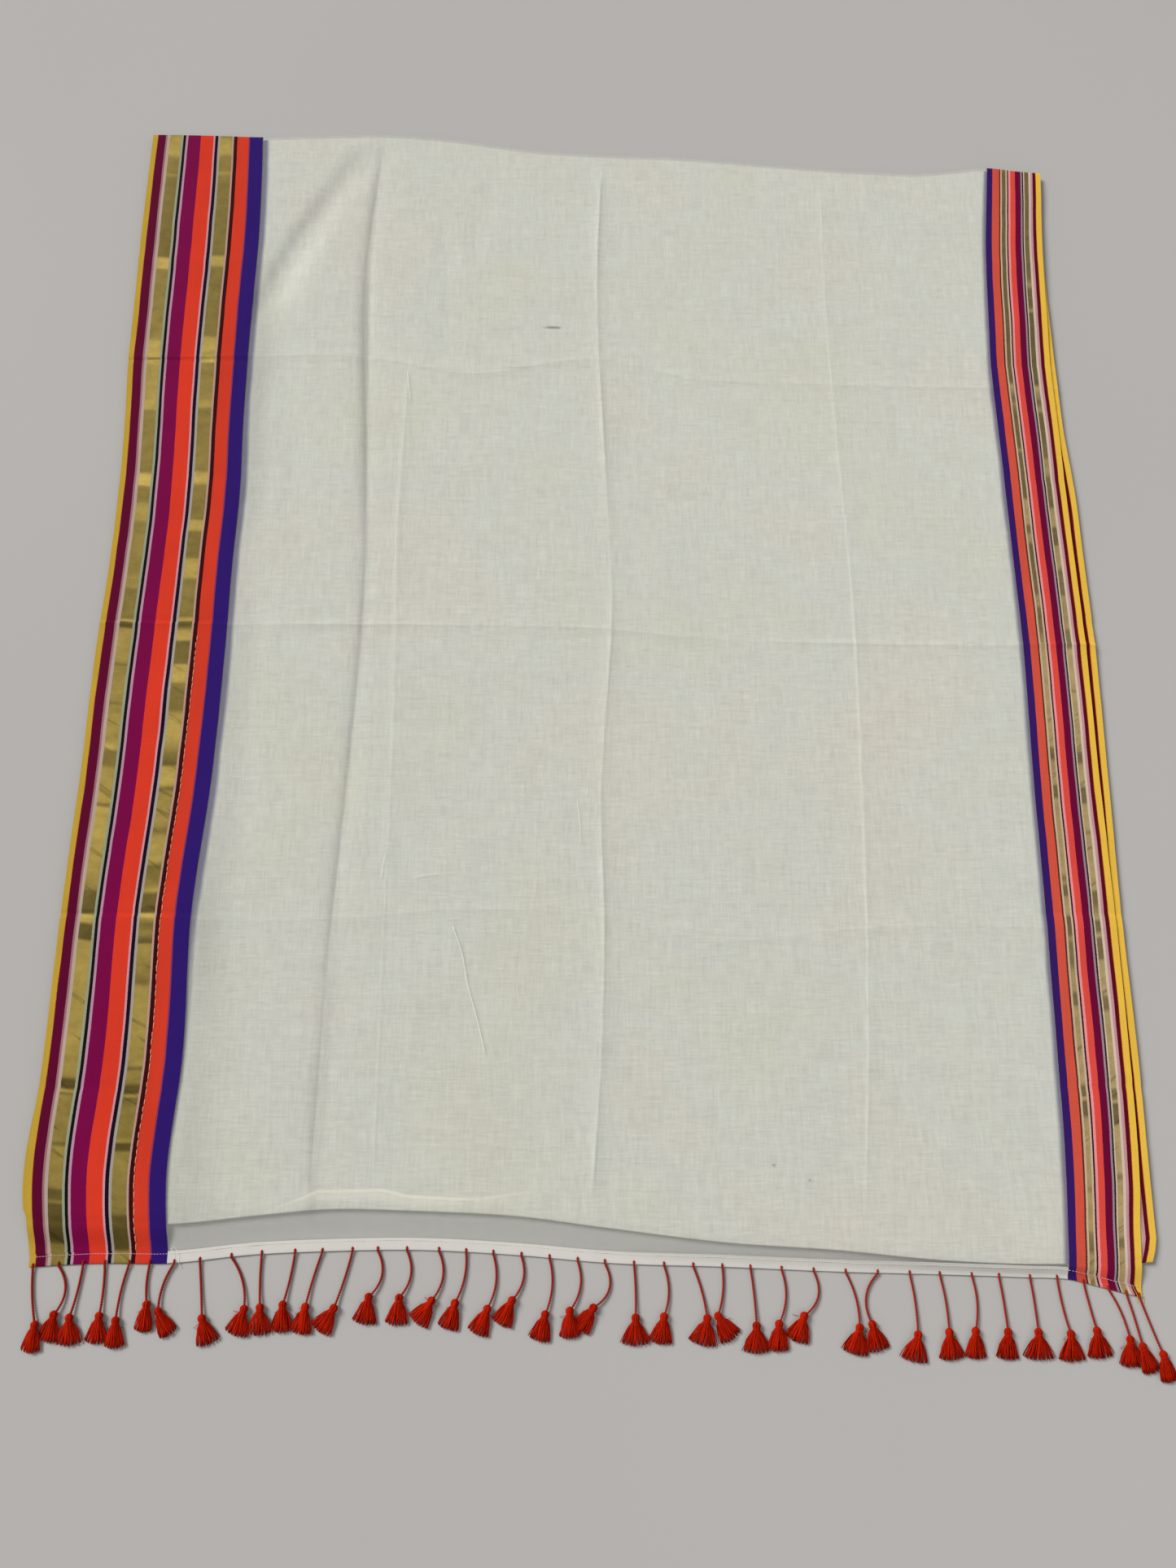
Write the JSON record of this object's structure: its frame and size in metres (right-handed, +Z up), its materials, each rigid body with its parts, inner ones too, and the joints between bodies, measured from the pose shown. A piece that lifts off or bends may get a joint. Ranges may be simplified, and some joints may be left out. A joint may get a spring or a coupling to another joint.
{
  "type": "folded cotton sari with a tasselled end",
  "caption": "Cotton sari folded flat in layers, sheer pale field between a wide and a narrow striped border, turned hem and tassels along the near end.",
  "frame": {"origin": "on the floor, under the middle of the folded cloth with its tassels", "axes": "+X across the cloth from the wide border to the narrow one, +Y along the cloth from the tasselled hem to the far fold, +Z up from the floor"},
  "size_m": [1.1898, 1.5179, 0.0106],
  "materials": {
    "voile": "sheer plain-woven cotton, matt, soft creases",
    "wide_stripes": "striped cotton border in yellow, plum, orange-red and violet with dull gold metallic bands",
    "narrow_stripes": "narrow striped cotton border in orange, plum and violet with thin dull gold bands",
    "hem": "turned and machine-stitched white cotton hem",
    "inner_layers": "the same sheer cotton in folded layers, striped along its two borders",
    "tassel": "orange-red cotton thread, twisted cords and combed skirts"
  },
  "bodies": {
    "root": {"field": "voile", "wide_border": "wide_stripes", "narrow_border": "narrow_stripes", "hem_field": "hem", "hem_wide": "wide_stripes", "hem_narrow": "narrow_stripes", "under_layers": "inner_layers", "tassel_01": "tassel", "tassel_02": "tassel", "tassel_03": "tassel", "tassel_04": "tassel", "tassel_05": "tassel", "tassel_06": "tassel", "tassel_07": "tassel", "tassel_08": "tassel", "tassel_09": "tassel", "tassel_10": "tassel", "tassel_11": "tassel", "tassel_12": "tassel", "tassel_13": "tassel", "tassel_14": "tassel", "tassel_15": "tassel", "tassel_16": "tassel", "tassel_17": "tassel", "tassel_18": "tassel", "tassel_19": "tassel", "tassel_20": "tassel", "tassel_21": "tassel", "tassel_22": "tassel", "tassel_23": "tassel", "tassel_24": "tassel", "tassel_25": "tassel", "tassel_26": "tassel", "tassel_27": "tassel", "tassel_28": "tassel", "tassel_29": "tassel", "tassel_30": "tassel", "tassel_31": "tassel", "tassel_32": "tassel", "tassel_33": "tassel", "tassel_34": "tassel", "tassel_35": "tassel", "tassel_36": "tassel", "tassel_37": "tassel", "tassel_38": "tassel", "tassel_39": "tassel", "tassel_40": "tassel", "tassel_41": "tassel"}
  },
  "joints": []
}
